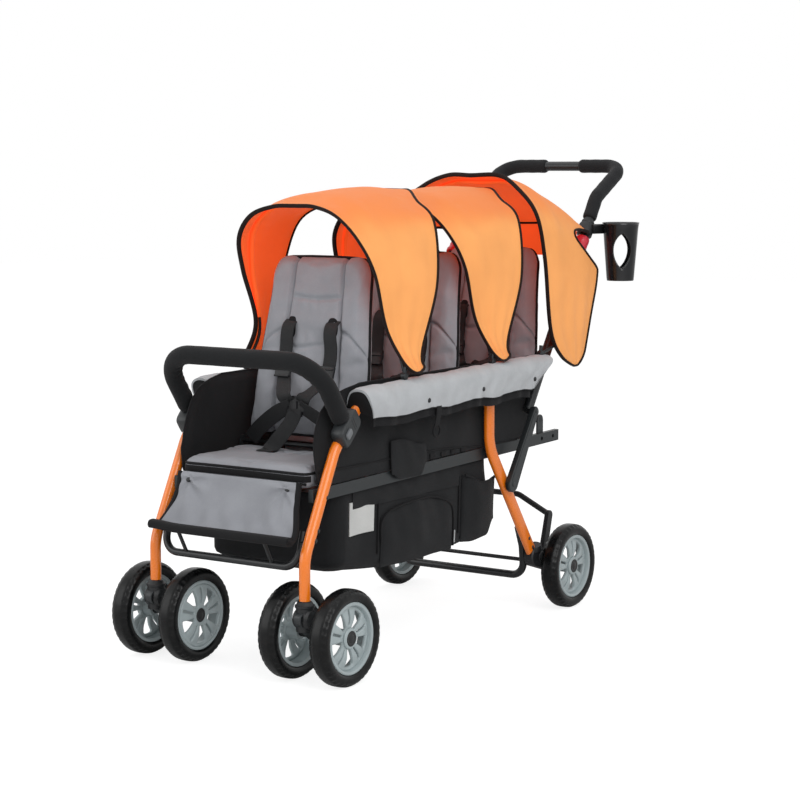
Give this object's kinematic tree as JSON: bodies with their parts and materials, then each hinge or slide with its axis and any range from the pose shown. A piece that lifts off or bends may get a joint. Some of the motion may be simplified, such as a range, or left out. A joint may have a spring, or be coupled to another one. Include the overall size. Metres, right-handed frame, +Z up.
{
  "type": "multi seat daycare stroller",
  "caption": "Long folding stroller with seats in line, arched sunshades, a bumper bar, an under-seat basket, swivel front casters and a foot brake.",
  "frame": {"origin": "on the ground, at the middle of the length and width", "axes": "+Z up, the seats face -Y, +X is the stroller's left side, which is the near side in the picture"},
  "size_m": [0.573, 1.4324, 1.0656],
  "materials": {
    "orange_paint": "gloss",
    "black_steel": "satin",
    "black_plastic": "matte",
    "foam": "matte foam and cloth",
    "grey_fabric": "woven",
    "black_fabric": "woven",
    "canopy_fabric": "woven, light sheen",
    "tyre_black": "semi gloss",
    "rim_grey": "moulded",
    "latch_red": "moulded",
    "wire": "plain"
  },
  "bodies": {
    "chassis": {"seat_frame": "black_steel", "seat_cushion_1": "grey_fabric", "seat_cushion_2": "grey_fabric", "seat_cushion_3": "grey_fabric", "basket": "black_fabric", "calf_panel": "grey_fabric", "harness_1": "black_fabric", "harness_2": "black_fabric", "harness_3": "black_fabric"},
    "front_legs": {"front_leg_left": "orange_paint", "front_leg_right": "orange_paint", "footrest_bar": "black_steel", "bumper_socket_left": "black_plastic", "bumper_socket_right": "black_plastic"},
    "caster_left": {"caster_fork_left": "black_plastic"},
    "caster_right": {"caster_fork_right": "black_plastic"},
    "rear_legs": {"rear_leg_left": "orange_paint", "rear_leg_right": "orange_paint", "rear_axle": "black_plastic", "curb_bar": "black_steel"},
    "rear_wheel_left": {"rear_tyre_left": "tyre_black", "rear_rim_left": "rim_grey"},
    "rear_wheel_right": {"rear_tyre_right": "tyre_black", "rear_rim_right": "rim_grey"},
    "brake": {"brake_pedal": "black_plastic"},
    "arm_rails": {"arm_rail_left": "black_steel", "arm_rail_right": "black_steel", "side_panel_left": "black_fabric", "side_panel_right": "black_fabric"},
    "fold_links": {"fold_link_left": "black_plastic", "fold_link_right": "black_plastic"},
    "handle": {"handle_tube": "black_steel", "handle_grip_left": "foam", "handle_grip_right": "foam", "cup_holder": "black_plastic"},
    "latch_left": {"fold_latch_left": "latch_red"},
    "latch_right": {"fold_latch_right": "latch_red"},
    "bumper": {"bumper_bar": "foam"},
    "bumper_button_left": {"bumper_button_left": "black_plastic"},
    "bumper_button_right": {"bumper_button_right": "black_plastic"},
    "caster_wheel_left_outer": {"caster_tyre_left_outer": "tyre_black", "caster_rim_left_outer": "rim_grey"},
    "caster_wheel_left_inner": {"caster_tyre_left_inner": "tyre_black", "caster_rim_left_inner": "rim_grey"},
    "caster_wheel_right_outer": {"caster_tyre_right_outer": "tyre_black", "caster_rim_right_outer": "rim_grey"},
    "caster_wheel_right_inner": {"caster_tyre_right_inner": "tyre_black", "caster_rim_right_inner": "rim_grey"},
    "back_1": {"seat_back_1": "grey_fabric", "recline_frame_1": "black_steel"},
    "sunshade_1": {"canopy_1": "canopy_fabric", "canopy_bow_1": "wire"},
    "back_2": {"seat_back_2": "grey_fabric", "recline_frame_2": "black_steel"},
    "sunshade_2": {"canopy_2": "canopy_fabric", "canopy_bow_2": "wire"},
    "back_3": {"seat_back_3": "grey_fabric", "recline_frame_3": "black_steel"},
    "sunshade_3": {"canopy_3": "canopy_fabric", "canopy_bow_3": "wire"}
  },
  "joints": [
    {"name": "frame_fold", "type": "hinge", "parent": "chassis", "child": "front_legs", "pos_m": [0, -0.602, 0.38137], "axis": [-1, 0, 0], "range_deg": [0, 40], "deforming": ["side_panel_left", "side_panel_right", "calf_panel"]},
    {"name": "rear_leg_fold", "type": "hinge", "parent": "chassis", "child": "rear_legs", "pos_m": [0, 0.039, 0.39698], "axis": [1, 0, 0], "range_deg": [0, 36]},
    {"name": "link_fold", "type": "hinge", "parent": "rear_legs", "child": "fold_links", "pos_m": [0, 0.099, 0.32], "axis": [1, 0, 0], "range_deg": [-86, 0]},
    {"name": "handle_fold", "type": "hinge", "parent": "fold_links", "child": "handle", "pos_m": [0, 0.199, 0.48], "axis": [1, 0, 0], "range_deg": [0, 50]},
    {"name": "arm_fold", "type": "hinge", "parent": "front_legs", "child": "arm_rails", "pos_m": [0, -0.4685, 0.5665], "axis": [1, 0, 0], "range_deg": [0, 40]},
    {"name": "caster_swivel_left", "type": "hinge", "parent": "front_legs", "child": "caster_left", "pos_m": [0.198, -0.665, 0.176], "axis": [0, 0, 1], "continuous": true},
    {"name": "caster_spin_left_outer", "type": "hinge", "parent": "caster_left", "child": "caster_wheel_left_outer", "pos_m": [0.263, -0.617, 0.1], "axis": [1, 0, 0], "continuous": true},
    {"name": "caster_spin_left_inner", "type": "hinge", "parent": "caster_left", "child": "caster_wheel_left_inner", "pos_m": [0.133, -0.617, 0.1], "axis": [1, 0, 0], "continuous": true},
    {"name": "rear_spin_left", "type": "hinge", "parent": "rear_legs", "child": "rear_wheel_left", "pos_m": [0.246, 0.313, 0.1], "axis": [1, 0, 0], "continuous": true},
    {"name": "latch_slide_left", "type": "slide", "parent": "handle", "child": "latch_left", "axis": [0.0424, -0.5942, -0.8032], "range_m": [0, 0.012], "stiffness_N_per_m": 300, "springref_m": -0.004},
    {"name": "bumper_release_left", "type": "slide", "parent": "front_legs", "child": "bumper_button_left", "axis": [-1, 0, 0], "range_m": [0, 0.003], "stiffness_N_per_m": 400, "springref_m": -0.001},
    {"name": "caster_swivel_right", "type": "hinge", "parent": "front_legs", "child": "caster_right", "pos_m": [-0.198, -0.665, 0.176], "axis": [0, 0, 1], "continuous": true},
    {"name": "caster_spin_right_outer", "type": "hinge", "parent": "caster_right", "child": "caster_wheel_right_outer", "pos_m": [-0.263, -0.617, 0.1], "axis": [1, 0, 0], "continuous": true},
    {"name": "caster_spin_right_inner", "type": "hinge", "parent": "caster_right", "child": "caster_wheel_right_inner", "pos_m": [-0.133, -0.617, 0.1], "axis": [1, 0, 0], "continuous": true},
    {"name": "rear_spin_right", "type": "hinge", "parent": "rear_legs", "child": "rear_wheel_right", "pos_m": [-0.246, 0.313, 0.1], "axis": [1, 0, 0], "continuous": true},
    {"name": "latch_slide_right", "type": "slide", "parent": "handle", "child": "latch_right", "axis": [-0.0424, -0.5942, -0.8032], "range_m": [0, 0.012], "stiffness_N_per_m": 300, "springref_m": -0.004},
    {"name": "bumper_release_right", "type": "slide", "parent": "front_legs", "child": "bumper_button_right", "axis": [1, 0, 0], "range_m": [0, 0.003], "stiffness_N_per_m": 400, "springref_m": -0.001},
    {"name": "brake_press", "type": "hinge", "parent": "rear_legs", "child": "brake", "pos_m": [0, 0.313, 0.1], "axis": [-1, 0, 0], "range_deg": [0, 18]},
    {"name": "bumper_lift", "type": "slide", "parent": "front_legs", "child": "bumper", "axis": [0, -0.5586, 0.8294], "range_m": [0, 0.03]},
    {"name": "recline_1", "type": "hinge", "parent": "chassis", "child": "back_1", "pos_m": [0, -0.395, 0.447], "axis": [1, 0, 0], "range_deg": [-30, 0], "deforming": ["harness_1"]},
    {"name": "sunshade_tilt_1", "type": "hinge", "parent": "arm_rails", "child": "sunshade_1", "pos_m": [0, -0.333, 0.60576], "axis": [1, 0, 0], "range_deg": [0, 15], "deforming": ["canopy_1", "canopy_bow_1"]},
    {"name": "recline_2", "type": "hinge", "parent": "chassis", "child": "back_2", "pos_m": [0, -0.05, 0.447], "axis": [1, 0, 0], "range_deg": [-30, 0], "deforming": ["harness_2"]},
    {"name": "sunshade_tilt_2", "type": "hinge", "parent": "arm_rails", "child": "sunshade_2", "pos_m": [0, 0.017, 0.61002], "axis": [1, 0, 0], "range_deg": [0, 15], "deforming": ["canopy_2", "canopy_bow_2"]},
    {"name": "recline_3", "type": "hinge", "parent": "chassis", "child": "back_3", "pos_m": [0, 0.295, 0.447], "axis": [1, 0, 0], "range_deg": [-30, 0], "deforming": ["harness_3"]},
    {"name": "sunshade_tilt_3", "type": "hinge", "parent": "arm_rails", "child": "sunshade_3", "pos_m": [0, 0.229, 0.61261], "axis": [1, 0, 0], "range_deg": [0, 8], "deforming": ["canopy_3", "canopy_bow_3"]}
  ],
  "couplings": [
    {"joint": "rear_leg_fold", "follows": "frame_fold", "ratio": 0.9},
    {"joint": "link_fold", "follows": "frame_fold", "ratio": -2.15},
    {"joint": "handle_fold", "follows": "frame_fold", "ratio": 1.25},
    {"joint": "arm_fold", "follows": "frame_fold", "ratio": 1}
  ]
}
